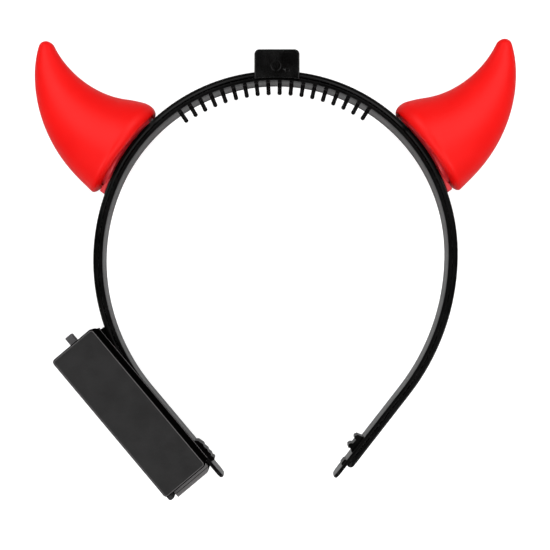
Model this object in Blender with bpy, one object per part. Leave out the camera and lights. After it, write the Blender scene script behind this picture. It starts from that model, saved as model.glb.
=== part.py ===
"""Light-up devil horns headband, lying on its side as it would on a table.

X is to the wearer's side, Y runs up to the crown and Z is the depth from the back of the head to
the front. Shapes are drawn in millimetres and turned into metres when each is finished. Everything
is drawn about the centre of the crown arc, then moved so that the origin is at the bottom centre.
"""

from math import ceil, cos, hypot, pi, radians, sin, sqrt

import bmesh
import bpy
from mathutils import Matrix, Vector

MM = 0.001

# The gap that neighbouring pieces keep, and the height of the mid-plane of the hoop.
GAP = 0.3
MID = 13.0

# How far a cutting shape runs past the surface that it opens.
CUT_PAST = 3.0

# The hoop's inner line, as arcs that follow each other from the crown down to each straight leg.
# The columns are the radius and the turn in degrees.
CROWN_RADIUS = 62.95
RIGHT_ARCS = (
    (62.9, 89.0),
    (80.3, 38.9),
)
LEFT_ARCS = (
    (62.95, 66.1),
    (69.7, 35.95),
    (73.8, 27.98),
)
RIGHT_LEG = 41.0
LEFT_LEG = 42.3
ARC_STEP_DEGREES = 4.2

# The comb band: thickness, and its depth at the crown, beside the ears and at the tips.
BAND_THICK = 1.3
CROWN_DEPTH = 13.1
EAR_DEPTH = 9.8
TIP_DEPTH = 9.3
CROWN_TO_EAR = 110.0
BAND_CHAMFER = 0.25
TIP_CORNER = 3.2
TIP_NOSE = 0.5

# The comb teeth under the crown.
TOOTH_COUNT = 18
TOOTH_PITCH = 3.92
TOOTH_CENTRE = 0.8
TOOTH_WIDTH = 1.45
TOOTH_DEPTH = 1.9
TOOTH_LENGTH = 4.3
TOOTH_ROOT = 0.6
TOOTH_BEVEL = 0.25

# The raised grips on the inner face near the tips. The columns are the distance toward the crown
# from the grip's start and the height above the inner face.
RIGHT_GRIP = (
    (-1.2, 0.0),
    (-0.2, 1.4),
    (-0.6, 2.1),
    (0.4, 2.8),
    (1.4, 2.4),
    (1.8, 1.7),
    (3.6, 1.7),
    (3.4, 2.3),
    (4.3, 2.8),
    (5.4, 2.2),
    (5.7, 1.0),
    (6.1, 0.0),
)
RIGHT_HUMP = (
    (-1.4, 0.0),
    (-0.9, 0.6),
    (0.9, 0.6),
    (1.4, 0.0),
)
LEFT_GRIP = (
    (-0.3, 0.0),
    (-0.5, 1.1),
    (0.2, 1.6),
    (1.2, 1.2),
    (2.0, 1.6),
    (3.2, 1.3),
    (4.2, 1.6),
    (5.6, 1.3),
    (6.6, 1.6),
    (8.0, 1.2),
    (8.8, 1.0),
    (9.6, 0.0),
)
RIGHT_GRIP_FROM_TIP = 12.4
RIGHT_HUMP_FROM_TIP = 6.6
LEFT_GRIP_FROM_TIP = 7.4
GRIP_DEPTH = 6.0
GRIP_ROOT = 0.5

# The wire cover on the outside of the band, with the channel for the wires on its inner side.
COVER_OUTER = 3.4
COVER_RIGHT_TONGUE = 6.4
COVER_LEFT_STOP = 136.5
CHANNEL_DEEP = 0.8
CHANNEL_EDGE = 2.6
COVER_END = 1.6
COVER_END_DROP = 0.8

# The low pad on the cover under each horn.
PAD_UP = 4.0
PAD_DOWN = 6.7
PAD_PROUD = 0.85
PAD_DEPTH = 8.0
PAD_ROOT = 1.4

# The centre housing over the crown.
HOUSING_LEFT = -8.0
HOUSING_RIGHT = 8.4
HOUSING_TOP = 73.9
HOUSING_WALL = 1.2
HOUSING_CORNER = 1.3
HOUSING_HEM = 63.7
EJECTOR_RADIUS = 1.8
EJECTOR_AT = (-0.15, 67.9)
PINHOLE_RADIUS = 0.6
PINHOLE_AT = (4.0, 66.3)
MARK_DEEP = 0.2
PINHOLE_DEEP = 0.8

# The horns, about the middle of each mouth. The axis angle is measured from the crown.
LEFT_HORN_ANGLE = 55.4
RIGHT_HORN_ANGLE = 54.8
MOUTH_RADIUS = 66.6
HORN_BEND = ((0.0, 0.0), (22.2, -5.7), (41.5, 6.1), (48.0, 16.4))
HORN_HALF_WIDTH = 20.0
HORN_WIDTH_RUN = 59.7
HORN_WIDTH_POWER = 1.12
HORN_HALF_DEPTH = 13.84
HORN_DEPTH_TAPER = 0.211
HORN_TIP = 1.8
HORN_RIM = 4.0
HORN_WALL = 2.2
MOUTH_LIP = 0.4
HORN_SOLID_TIP = 9.0
HOLLOW_END = 0.45
HORN_SIDES = 28
MOUTH_STRAIGHT = 8.0
MOUTH_TILT = 3.0

# The translucent base that plugs each horn's mouth.
PLUG_HEIGHT = 3.2
SADDLE_DOWN = 17.9
SADDLE_UP = 13.3
SADDLE_DEPTH = 9.0

# The battery case, in its own frame: along its length, across toward the head, and depth.
CASE_ANGLE = -50.03
CASE_DEPTH = 26.0
CASE_TOP = -21.9
CASE_BOTTOM = 42.0
CASE_OUTER = -86.7
CASE_INNER = -67.75
CASE_CORNER = 2.2
CASE_EDGE = 0.5
BACK_TOP = -20.7
BACK_BOTTOM = 45.1
BACK_INNER = -68.8
BACK_HIGH = 19.0
LIP_INNER = -66.95
LIP_LOW = 18.15
CASE_WALL = 1.6
BAY_WALL = 2.0
END_WALL_FROM = 40.2
PARTITION_FROM = -11.9
PARTITION_TO = -8.5
SWITCH_BAY_FROM = -19.2
SWITCH_BAY_OUTER = -85.0
BAY_INNER = -71.0
RIB_TO = -6.0
RIB_LOW = 8.5
CLEAR_INWARD = 9.0

# The battery door and the rails it slides under.
DOOR_FROM = -10.0
DOOR_TO = 45.0
RAIL_THICK = 0.7
RAIL_OVER = 0.8
DOOR_TONGUE = 1.0
DOOR_CHAMFER = 0.9
NUB_PROUD = 0.5
NUB_AT = 39.4
NUB_HALF = 0.5
NUB_DEPTH = 10.0

# The slide switch knob on the upper end of the case.
KNOB_ACROSS = -78.6
KNOB_WIDTH = 3.1
KNOB_DEPTH = 3.0
KNOB_TOP = -26.1
KNOB_TRAVEL = 2.0
KNOB_FLANGE = 3.0
KNOB_FLANGE_THICK = 1.2


def clear_scene():
    for old in list(bpy.data.objects):
        bpy.data.objects.remove(old, do_unlink=True)


def material(name, colour, roughness, transmission=0.0):
    made = bpy.data.materials.new(name)
    made.use_nodes = True
    shader = made.node_tree.nodes["Principled BSDF"]
    shader.inputs["Base Color"].default_value = (*colour, 1.0)
    shader.inputs["Roughness"].default_value = roughness
    shader.inputs["Metallic"].default_value = 0.0
    shader.inputs["Transmission Weight"].default_value = transmission
    made.diffuse_color = (*colour, 1.0)
    return made


def new_object(name, bm):
    bmesh.ops.recalc_face_normals(bm, faces=bm.faces[:])
    mesh = bpy.data.meshes.new(name)
    bm.to_mesh(mesh)
    bm.free()
    obj = bpy.data.objects.new(name, mesh)
    bpy.context.scene.collection.objects.link(obj)
    return obj


def loft(name, rings):
    """One closed body through rings of points that all have the same count."""
    bm = bmesh.new()
    loops = [[bm.verts.new(point) for point in ring] for ring in rings]
    count = len(loops[0])
    for low, high in zip(loops, loops[1:]):
        for k in range(count):
            following = (k + 1) % count
            bm.faces.new((low[k], low[following], high[following], high[k]))
    bm.faces.new(loops[0])
    bm.faces.new(loops[-1])
    return new_object(name, bm)


def combine(body, tool, operation):
    """Apply one Boolean and remove the tool object."""
    step = body.modifiers.new("step", "BOOLEAN")
    step.operation = operation
    step.solver = "EXACT"
    step.object = tool
    bpy.context.view_layer.update()
    graph = bpy.context.evaluated_depsgraph_get()
    result = bpy.data.meshes.new_from_object(body.evaluated_get(graph))
    body.modifiers.clear()
    body.data = result
    bpy.data.objects.remove(tool, do_unlink=True)


def finish(obj, surface):
    """Turn the finished shape from millimetres into metres and give it its surface."""
    obj.data.transform(Matrix.Scale(MM, 4))
    obj.data.materials.clear()
    obj.data.materials.append(surface)
    obj.data.shade_smooth()
    obj.data.set_sharp_from_angle(angle=radians(35))


# The hoop's path: stations on the inner line, with the direction away from the head.

def side_path(arcs, leg, side):
    """Stations from the crown to one tip, as (distance, point, outward)."""
    x, y, turned, distance = 0.0, CROWN_RADIUS, 0.0, 0.0
    stations = [(0.0, (0.0, y), (0.0, 1.0))]
    for radius, turn in arcs:
        steps = ceil(turn / ARC_STEP_DEGREES)
        for k in range(steps):
            following = turned + radians(turn) / steps
            x += radius * (sin(following) - sin(turned))
            y += radius * (cos(following) - cos(turned))
            turned = following
            distance += radius * radians(turn) / steps
            stations.append((distance, (side * x, y), (side * sin(turned), cos(turned))))
    outward = (side * sin(turned), cos(turned))
    for share in (0.4, 0.75, 1.0):
        along = leg * share
        point = (side * (x + along * cos(turned)), y - along * sin(turned))
        stations.append((distance + along, point, outward))
    return stations


RIGHT_PATH = side_path(RIGHT_ARCS, RIGHT_LEG, 1)
LEFT_PATH = side_path(LEFT_ARCS, LEFT_LEG, -1)


def station_at(path, distance):
    """The point and outward direction at a distance from the crown along one side."""
    for low, high in zip(path, path[1:]):
        if distance <= high[0]:
            break
    share = (distance - low[0]) / (high[0] - low[0])
    point = [a + (b - a) * share for a, b in zip(low[1], high[1])]
    outward = [a + (b - a) * share for a, b in zip(low[2], high[2])]
    size = hypot(*outward)
    return (distance, tuple(point), (outward[0] / size, outward[1] / size))


def band_depth(distance):
    """The strip's depth: widest at the crown, narrower beside the ears, narrowest at the tip."""
    if distance < CROWN_TO_EAR:
        blend = 0.5 + 0.5 * cos(pi * distance / CROWN_TO_EAR)
        return EAR_DEPTH + (CROWN_DEPTH - EAR_DEPTH) * blend
    return max(TIP_DEPTH, EAR_DEPTH - (distance - CROWN_TO_EAR) * 0.0065)


def at(station, offset, z):
    """A point at an offset outward from the inner line."""
    _, (x, y), (nx, ny) = station
    return (x + nx * offset, y + ny * offset, z)


def strip_ring(station, inner, outer, depth, chamfer):
    """A rectangle across the strip with its four corners chamfered."""
    low, high = MID - depth / 2, MID + depth / 2
    return [
        at(station, inner + chamfer, low),
        at(station, outer - chamfer, low),
        at(station, outer, low + chamfer),
        at(station, outer, high - chamfer),
        at(station, outer - chamfer, high),
        at(station, inner + chamfer, high),
        at(station, inner, high - chamfer),
        at(station, inner, low + chamfer),
    ]


def hoop(left, right):
    """Stations from the left end over the crown to the right end."""
    return list(reversed(left)) + right[1:]


def part_of(path, start, stop):
    """The stations of one side between two distances, ends included."""
    inside = [s for s in path if start + 0.5 < s[0] < stop - 0.5]
    return [station_at(path, start)] + inside + [station_at(path, stop)]


# The comb band.

def band_end(path):
    """One side of the band, with extra stations round its tip."""
    length = path[-1][0]
    ends = (TIP_CORNER, 2.0, 1.0, 0.35, 0.0)
    stations = part_of(path, 0.0, length - TIP_CORNER)
    return stations + [station_at(path, length - e) for e in ends[1:]]


def band_ring(station, length):
    distance = station[0]
    depth = band_depth(distance)
    from_end = length - distance
    chamfer = BAND_CHAMFER
    nose = 0.0
    if from_end < TIP_CORNER:
        inset = TIP_CORNER - sqrt(max(0.0, TIP_CORNER**2 - (TIP_CORNER - from_end) ** 2))
        depth -= 2 * inset
    if from_end < TIP_NOSE:
        nose = 0.25 * (1 - from_end / TIP_NOSE)
    return strip_ring(station, nose, BAND_THICK - nose, depth, chamfer)


def tooth(angle):
    """One comb tooth with a rounded tip, its root sunk in the band."""
    outward = Vector((sin(radians(angle)), cos(radians(angle)), 0.0))
    side = Vector((outward.y, -outward.x, 0.0))
    half = TOOTH_WIDTH / 2
    root = CROWN_RADIUS + TOOTH_ROOT
    shoulder = CROWN_RADIUS - TOOTH_LENGTH + half
    outline = [(root, -half), (shoulder, -half)]
    outline += [(shoulder - half * sin(radians(a)), -half * cos(radians(a))) for a in (45, 90, 135)]
    outline += [(shoulder, half), (root, half)]
    rings = []
    high = TOOTH_DEPTH / 2
    level = high - TOOTH_BEVEL
    for z, shrink in ((-high, TOOTH_BEVEL), (-level, 0.0), (level, 0.0), (high, TOOTH_BEVEL)):
        ring = []
        for along, across in outline:
            across *= 1 - shrink / half
            if along < shoulder + 0.01:
                along += shrink
            place = outward * along + side * across
            ring.append((place.x, place.y, MID + z))
        rings.append(ring)
    return loft("tooth", rings)


def grip(path, from_tip, profile, depth):
    """A raised grip on the inner face: profile rows are (distance toward the crown, height)."""
    start = path[-1][0] - from_tip
    rings = []
    for z in (MID - depth / 2, MID + depth / 2):
        ring = [at(station_at(path, start - s), -h, z) for s, h in profile]
        first, last = profile[0][0], profile[-1][0]
        ring.append(at(station_at(path, start - last), GRIP_ROOT, z))
        ring.append(at(station_at(path, start - first), GRIP_ROOT, z))
        rings.append(ring)
    return loft("grip", rings)


def make_comb_band(surface):
    stations = hoop(band_end(LEFT_PATH), band_end(RIGHT_PATH))
    crown = stations.index(LEFT_PATH[0])
    rings = []
    for k, station in enumerate(stations):
        side = LEFT_PATH if k < crown else RIGHT_PATH
        rings.append(band_ring(station, side[-1][0]))
    band = loft("comb_band", rings)
    middle = (TOOTH_COUNT - 1) / 2
    for k in range(TOOTH_COUNT):
        combine(band, tooth((k - middle) * TOOTH_PITCH - TOOTH_CENTRE), "UNION")
    combine(band, grip(RIGHT_PATH, RIGHT_GRIP_FROM_TIP, RIGHT_GRIP, GRIP_DEPTH), "UNION")
    combine(band, grip(RIGHT_PATH, RIGHT_HUMP_FROM_TIP, RIGHT_HUMP, GRIP_DEPTH), "UNION")
    combine(band, grip(LEFT_PATH, LEFT_GRIP_FROM_TIP, LEFT_GRIP, GRIP_DEPTH), "UNION")
    finish(band, surface)


# The wire cover.

def cover_ring(station, outer):
    """A shallow channel section, open toward the band."""
    depth = band_depth(station[0])
    low, high = MID - depth / 2, MID + depth / 2
    inner = BAND_THICK + GAP
    floor = min(inner + CHANNEL_DEEP, outer - 0.1)
    c = min(BAND_CHAMFER, (outer - inner) / 3)
    return [
        at(station, inner, low + CHANNEL_EDGE),
        at(station, inner, low),
        at(station, outer - c, low),
        at(station, outer, low + c),
        at(station, outer, high - c),
        at(station, outer - c, high),
        at(station, inner, high),
        at(station, inner, high - CHANNEL_EDGE),
        at(station, floor, high - CHANNEL_EDGE),
        at(station, floor, low + CHANNEL_EDGE),
    ]


def horn_frame(angle, side):
    """Unit vectors along a horn's axis and toward the crown, for one side of the head."""
    axis = Vector((side * sin(radians(angle)), cos(radians(angle)), 0.0))
    crown = Vector((-side * cos(radians(angle)), sin(radians(angle)), 0.0))
    return axis, crown


def pad(angle, side, grow):
    """The low pad under a horn, grown on every side when it cuts the base's pocket."""
    rings = []
    outer = CROWN_RADIUS + COVER_OUTER + PAD_PROUD + grow
    half = PAD_DEPTH / 2 + grow
    low = radians(angle - PAD_UP) - grow / outer
    high = radians(angle + PAD_DOWN) + grow / outer
    for k in range(5):
        a = low + (high - low) * k / 4
        ring = []
        for radius, z in ((outer - PAD_ROOT - grow, -half), (outer, -half),
                          (outer, half), (outer - PAD_ROOT - grow, half)):
            ring.append((side * radius * sin(a), radius * cos(a), MID + z))
        rings.append(ring)
    return loft("pad", rings)


def make_wire_cover(surface):
    right_stop = RIGHT_PATH[-1][0] - COVER_RIGHT_TONGUE
    left = part_of(LEFT_PATH, 0.0, COVER_LEFT_STOP)
    right = part_of(RIGHT_PATH, 0.0, right_stop - COVER_END)
    rings = [cover_ring(s, COVER_OUTER) for s in hoop(left, right)]
    lip = COVER_OUTER - BAND_THICK - GAP
    for back in (1.1, 0.6, 0.2, 0.0):
        drop = COVER_END_DROP * lip * (1 - sqrt(1 - (1 - back / COVER_END) ** 2))
        rings.append(cover_ring(station_at(RIGHT_PATH, right_stop - back), COVER_OUTER - drop))
    cover = loft("wire_cover", rings)
    combine(cover, pad(LEFT_HORN_ANGLE, -1, 0.0), "UNION")
    combine(cover, pad(RIGHT_HORN_ANGLE, 1, 0.0), "UNION")
    finish(cover, surface)


# The centre housing.

def rounded_corner(x, y, radius, start, stop, steps=4):
    """Points of one rounded corner about its own centre."""
    points = []
    for k in range(steps + 1):
        a = radians(start + (stop - start) * k / steps)
        points.append((x + radius * cos(a), y + radius * sin(a)))
    return points


def housing_outline(inset, corner):
    left, right = HOUSING_LEFT + inset, HOUSING_RIGHT - inset
    top, bottom = HOUSING_TOP - inset, HOUSING_HEM - 3.0
    points = [(left, bottom), (right, bottom)]
    points += rounded_corner(right - corner, top - corner, corner, 0, 90)
    points += rounded_corner(left + corner, top - corner, corner, 90, 180)
    return points


def disc(radius, low, high, sides=24, place=(0.0, 0.0)):
    rings = []
    for z in (low, high):
        turn = 2 * pi / sides
        rings.append([(place[0] + radius * cos(turn * k), place[1] + radius * sin(turn * k), z)
                      for k in range(sides)])
    return loft("disc", rings)


def make_centre_housing(surface):
    cheek = CROWN_DEPTH / 2 + GAP + HOUSING_WALL
    levels = ((-cheek, 0.5), (-cheek + 0.5, 0.0), (cheek - 0.5, 0.0), (cheek, 0.5))
    shell = loft("centre_housing", [[(x, y, MID + z) for x, y in housing_outline(inset, HOUSING_CORNER)]
                                    for z, inset in levels])
    hollow = CROWN_DEPTH / 2 + GAP
    cavity = [[(x, y, MID + z) for x, y in housing_outline(HOUSING_WALL, 0.5)]
              for z in (-hollow, hollow)]
    combine(shell, loft("cavity", cavity), "DIFFERENCE")
    combine(shell, disc(HOUSING_HEM, 0.0, 2 * MID, 160), "DIFFERENCE")
    seat = CROWN_RADIUS + COVER_OUTER + GAP
    combine(shell, disc(seat, MID - hollow, MID + hollow, 160), "DIFFERENCE")
    front = MID + cheek
    combine(shell, disc(EJECTOR_RADIUS, front - MARK_DEEP, front + 1, 24, EJECTOR_AT), "DIFFERENCE")
    combine(shell, disc(PINHOLE_RADIUS, front - PINHOLE_DEEP, front + 1, 12, PINHOLE_AT), "DIFFERENCE")
    finish(shell, surface)


# The horns.

def bend_point(share):
    """A point on the horn's centre line, a cubic curve through HORN_BEND."""
    weights = ((1 - share) ** 3, 3 * share * (1 - share) ** 2, 3 * share**2 * (1 - share), share**3)
    return Vector((sum(w * p[0] for w, p in zip(weights, HORN_BEND)),
                   sum(w * p[1] for w, p in zip(weights, HORN_BEND))))


BEND_STEPS = 200
BEND_POINTS = [bend_point(k / BEND_STEPS) for k in range(BEND_STEPS + 1)]
BEND_LENGTHS = [0.0]
for before, after in zip(BEND_POINTS, BEND_POINTS[1:]):
    BEND_LENGTHS.append(BEND_LENGTHS[-1] + (after - before).length)
HORN_LENGTH = BEND_LENGTHS[-1]


def bend_at(distance):
    """The centre line's point and direction at a distance from the mouth."""
    k = 0
    while k < BEND_STEPS - 1 and BEND_LENGTHS[k + 1] < distance:
        k += 1
    span = BEND_LENGTHS[k + 1] - BEND_LENGTHS[k]
    share = (distance - BEND_LENGTHS[k]) / span
    point = BEND_POINTS[k].lerp(BEND_POINTS[k + 1], share)
    direction = (BEND_POINTS[k + 1] - BEND_POINTS[k]).normalized()
    mouth = Vector((cos(radians(MOUTH_TILT)), sin(radians(MOUTH_TILT))))
    return point, mouth.lerp(direction, min(1.0, distance / MOUTH_STRAIGHT)).normalized()


def horn_size(distance):
    """Half width and half depth of the horn's outer surface at a distance from the mouth."""
    width = HORN_HALF_WIDTH * (1 - (distance / HORN_WIDTH_RUN) ** HORN_WIDTH_POWER)
    depth = HORN_HALF_DEPTH - HORN_DEPTH_TAPER * distance
    if distance < HORN_RIM:
        inset = HORN_RIM - sqrt(HORN_RIM**2 - (HORN_RIM - distance) ** 2)
        width -= inset
        depth -= inset
    from_tip = HORN_LENGTH - distance
    if from_tip < HORN_TIP:
        share = sqrt(max(0.0, 1 - (1 - from_tip / HORN_TIP) ** 2))
        width *= share
        depth *= share
    return width, depth


def horn_ring(origin, axis, crown, distance, width, depth):
    point, direction = bend_at(distance)
    centre = origin + axis * point.x + crown * point.y
    across = axis * -direction.y + crown * direction.x
    ring = []
    for k in range(HORN_SIDES):
        a = 2 * pi * k / HORN_SIDES
        place = centre + across * (width * cos(a)) + Vector((0, 0, depth * sin(a)))
        ring.append((place.x, place.y, MID + place.z))
    return ring


def make_horn(name, angle, side, surface):
    axis, crown = horn_frame(angle, side)
    origin = axis * MOUTH_RADIUS
    rim = [HORN_RIM * (1 - cos(radians(a))) for a in (0, 30, 60, 90)]
    body = [HORN_RIM + (HORN_LENGTH - HORN_TIP - HORN_RIM) * k / 12 for k in range(1, 13)]
    tip = [HORN_LENGTH - HORN_TIP * (1 - sin(radians(a))) for a in (25, 50, 72, 88)]
    outside = []
    for distance in rim + body + tip:
        outside.append(horn_ring(origin, axis, crown, distance, *horn_size(distance)))
    depth_of_hollow = HORN_LENGTH - HORN_SOLID_TIP
    inside = []
    for share in (1.0, 0.93, 0.8, 0.6, 0.4, 0.2, 0.0):
        distance = depth_of_hollow * share
        width, depth = horn_size(distance)
        wall = HORN_WALL if distance > HORN_RIM else MOUTH_LIP
        round_off = HOLLOW_END if share == 1.0 else 1.0
        inner_width = (width - wall) * round_off
        inner_depth = (depth - wall) * round_off
        inside.append(horn_ring(origin, axis, crown, distance, inner_width, inner_depth))
    horn = loft(name, list(reversed(outside)) + list(reversed(inside)))
    finish(horn, surface)


# The translucent horn bases.

def local_box(origin, axis, crown, along, across, depth):
    """A box in a horn's frame; each range is (from, to), depth about the mid-plane."""
    rings = []
    for z in depth:
        ring = []
        for a, c in ((along[0], across[0]), (along[1], across[0]),
                     (along[1], across[1]), (along[0], across[1])):
            place = origin + axis * a + crown * c
            ring.append((place.x, place.y, MID + z))
        rings.append(ring)
    return loft("box", rings)


def make_horn_base(name, angle, side, surface):
    axis, crown = horn_frame(angle, side)
    origin = axis * MOUTH_RADIUS
    width, depth = horn_size(0.0)
    width -= MOUTH_LIP + GAP
    depth -= MOUTH_LIP + GAP
    rings = []
    for along, inset in ((-0.6, 0.0), (PLUG_HEIGHT - 0.6, 0.6), (PLUG_HEIGHT, 1.2)):
        ring = []
        for k in range(HORN_SIDES):
            a = 2 * pi * k / HORN_SIDES
            place = origin + axis * along + crown * ((width - inset) * cos(a))
            ring.append((place.x, place.y, MID + (depth - inset) * sin(a)))
        rings.append(ring)
    base = loft(name, rings)
    half = SADDLE_DEPTH / 2
    reach = (-SADDLE_DOWN, SADDLE_UP)
    foot = local_box(origin, axis, crown, (-4.0, -GAP), reach, (-half, half))
    combine(base, foot, "UNION")
    seat = CROWN_RADIUS + COVER_OUTER + GAP
    combine(base, disc(seat, -1.0, 2 * MID + 1.0, 200), "DIFFERENCE")
    combine(base, pad(angle, side, GAP), "DIFFERENCE")
    finish(base, surface)


# The battery case, its door and the switch knob, in the case's own frame.

CASE_ALONG = Vector((cos(radians(CASE_ANGLE)), sin(radians(CASE_ANGLE)), 0.0))
CASE_ACROSS = Vector((-CASE_ALONG.y, CASE_ALONG.x, 0.0))


def case_point(t, s, z):
    place = CASE_ALONG * t + CASE_ACROSS * s
    return (place.x, place.y, z)


def case_box(t, s, z):
    """A box in the case's frame from three (from, to) ranges."""
    rings = []
    for height in z:
        corners = ((t[0], s[0]), (t[1], s[0]), (t[1], s[1]), (t[0], s[1]))
        rings.append([case_point(a, b, height) for a, b in corners])
    return loft("box", rings)


def case_strip(sections):
    """A strip in the case's frame, from (along, section) pairs of (across, depth) points."""
    return loft("strip", [[case_point(along, a, b) for a, b in section] for along, section in sections])


def door_section(slack, outer):
    """The door's stepped section, grown by the slack where it is the slot that is cut."""
    wide = CASE_WALL + GAP - slack
    narrow = wide + RAIL_OVER
    step = CASE_OUTER + RAIL_THICK + GAP - slack
    inner = CASE_OUTER + RAIL_THICK + GAP + DOOR_TONGUE + slack
    return [
        (outer, narrow),
        (step, narrow),
        (step, wide),
        (inner, wide),
        (inner, CASE_DEPTH - wide),
        (step, CASE_DEPTH - wide),
        (step, CASE_DEPTH - narrow),
        (outer, CASE_DEPTH - narrow),
    ]


def case_ring(t, s, z, inset):
    """A rounded rectangle in the case's frame at one height."""
    t0, t1, s0, s1 = t[0] + inset, t[1] - inset, s[0] + inset, s[1] - inset
    r = CASE_CORNER
    outline = rounded_corner(t1 - r, s1 - r, r, 0, 90)
    outline += rounded_corner(t0 + r, s1 - r, r, 90, 180)
    outline += rounded_corner(t0 + r, s0 + r, r, 180, 270)
    outline += rounded_corner(t1 - r, s0 + r, r, 270, 360)
    return [case_point(a, b, z) for a, b in outline]


def clearance(path, start, stop, outer, half):
    """The space a length of strip needs beside the case, open toward the head."""
    rings = []
    for station in part_of(path, start, stop):
        ring = [at(station, -CLEAR_INWARD, MID - half), at(station, outer, MID - half),
                at(station, outer, MID + half), at(station, -CLEAR_INWARD, MID + half)]
        rings.append(ring)
    return loft("clearance", rings)


def make_battery_case():
    back = [
        case_ring((BACK_TOP, BACK_BOTTOM), (CASE_OUTER, BACK_INNER), 0.0, CASE_EDGE),
        case_ring((BACK_TOP, BACK_BOTTOM), (CASE_OUTER, BACK_INNER), CASE_EDGE, 0.0),
        case_ring((BACK_TOP, BACK_BOTTOM), (CASE_OUTER, BACK_INNER), BACK_HIGH, 0.0),
    ]
    case = loft("battery_case", back)
    edge = CASE_DEPTH - CASE_EDGE
    front = [
        case_ring((CASE_TOP, CASE_BOTTOM), (CASE_OUTER, LIP_INNER), LIP_LOW - 0.4, 0.0),
        case_ring((CASE_TOP, CASE_BOTTOM), (CASE_OUTER, CASE_INNER), edge, 0.0),
        case_ring((CASE_TOP, CASE_BOTTOM), (CASE_OUTER, CASE_INNER), CASE_DEPTH, CASE_EDGE),
    ]
    combine(case, loft("front", front), "UNION")
    rib = case_box((BACK_TOP + 0.8, RIB_TO), (BACK_INNER - 1.0, -60.0), (RIB_LOW, LIP_LOW - 0.2))
    combine(case, rib, "UNION")
    half = LIP_LOW - MID
    band_space = clearance(LEFT_PATH, 90.0, LEFT_PATH[-1][0], BAND_THICK + GAP, half)
    combine(case, band_space, "DIFFERENCE")
    cover_space = clearance(LEFT_PATH, 90.0, COVER_LEFT_STOP + GAP, COVER_OUTER + GAP, half)
    combine(case, cover_space, "DIFFERENCE")
    return case


def hollow_battery_case(case, surface):
    wall = (BAY_WALL, CASE_DEPTH - BAY_WALL)
    seat = CASE_OUTER + RAIL_THICK + DOOR_TONGUE + 2 * GAP
    slot_section = door_section(GAP, CASE_OUTER - CUT_PAST)
    slot_ends = (DOOR_FROM - GAP, BACK_BOTTOM + CUT_PAST)
    combine(case, case_strip([(t, slot_section) for t in slot_ends]), "DIFFERENCE")
    bay = case_box((PARTITION_TO, END_WALL_FROM), (seat - 0.4, BAY_INNER), wall)
    combine(case, bay, "DIFFERENCE")
    switch_bay = case_box((SWITCH_BAY_FROM, PARTITION_FROM), (SWITCH_BAY_OUTER, BAY_INNER), wall)
    combine(case, switch_bay, "DIFFERENCE")
    slot_half = KNOB_WIDTH / 2 + GAP
    slot_reach = (KNOB_DEPTH + KNOB_TRAVEL) / 2 + GAP
    slot_hole = case_box((CASE_TOP - CUT_PAST, SWITCH_BAY_FROM + 1.0),
                    (KNOB_ACROSS - slot_half, KNOB_ACROSS + slot_half),
                    (MID - slot_reach, MID + slot_reach))
    combine(case, slot_hole, "DIFFERENCE")
    finish(case, surface)


def make_battery_door(surface):
    full = door_section(0.0, CASE_OUTER)
    tapered = door_section(0.0, CASE_OUTER + DOOR_CHAMFER)
    door = case_strip([(DOOR_FROM, full), (DOOR_TO - DOOR_CHAMFER, full), (DOOR_TO, tapered)])
    nub = case_box((NUB_AT - NUB_HALF, NUB_AT + NUB_HALF), (CASE_OUTER - NUB_PROUD, CASE_OUTER + 0.4),
                   (MID - NUB_DEPTH / 2, MID + NUB_DEPTH / 2))
    combine(door, nub, "UNION")
    door.name = "battery_door"
    finish(door, surface)
    move_origin(door, case_point((DOOR_FROM + DOOR_TO) / 2, CASE_OUTER, MID))


def make_switch_knob(surface):
    rest = MID - KNOB_TRAVEL / 2
    half = KNOB_WIDTH / 2
    across = (KNOB_ACROSS - half, KNOB_ACROSS + half)
    reach = (rest - KNOB_DEPTH / 2, rest + KNOB_DEPTH / 2)
    inside = SWITCH_BAY_FROM + GAP
    knob = case_box((KNOB_TOP, inside + 0.5), across, reach)
    flange = case_box((inside, inside + KNOB_FLANGE_THICK),
                      (KNOB_ACROSS - KNOB_FLANGE, KNOB_ACROSS + KNOB_FLANGE),
                      (reach[0] - 2.6, reach[1] + 2.6))
    combine(knob, flange, "UNION")
    knob.name = "switch_knob"
    finish(knob, surface)
    move_origin(knob, case_point(inside, KNOB_ACROSS, rest))


def move_origin(obj, point):
    """Put an object's origin at a point without moving its shape."""
    place = Vector(point) * MM
    obj.data.transform(Matrix.Translation(-place))
    obj.location = place


def centre_on_floor():
    """Move every piece so that the bounding box's bottom centre is the origin."""
    bpy.context.view_layer.update()
    corners = []
    for obj in bpy.context.scene.objects:
        corners += [obj.matrix_world @ vert.co for vert in obj.data.vertices]
    low = [min(c[k] for c in corners) for k in range(3)]
    high = [max(c[k] for c in corners) for k in range(3)]
    shift = Vector(((low[0] + high[0]) / 2, (low[1] + high[1]) / 2, low[2]))
    for obj in bpy.context.scene.objects:
        obj.location -= shift


def main():
    clear_scene()
    black = material("moulded_black", (0.012, 0.012, 0.013), 0.42)
    comb = material("comb_black", (0.014, 0.013, 0.013), 0.38)
    housing = material("housing_black", (0.011, 0.011, 0.011), 0.45)
    textured = material("textured_black", (0.021, 0.021, 0.022), 0.6)
    door = material("door_black", (0.02, 0.02, 0.021), 0.6)
    grey = material("switch_grey", (0.09, 0.09, 0.095), 0.5)
    make_comb_band(comb)
    make_wire_cover(black)
    make_centre_housing(housing)
    for name, angle, side in (("left", LEFT_HORN_ANGLE, -1), ("right", RIGHT_HORN_ANGLE, 1)):
        red = material("horn_red_" + name, (0.85, 0.012, 0.01), 0.45)
        clear_red = material("clear_red_" + name, (0.8, 0.01, 0.03), 0.15, 0.6)
        make_horn("horn_" + name, angle, side, red)
        make_horn_base("horn_base_" + name, angle, side, clear_red)
    hollow_battery_case(make_battery_case(), textured)
    make_battery_door(door)
    make_switch_knob(grey)
    centre_on_floor()


main()
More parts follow.
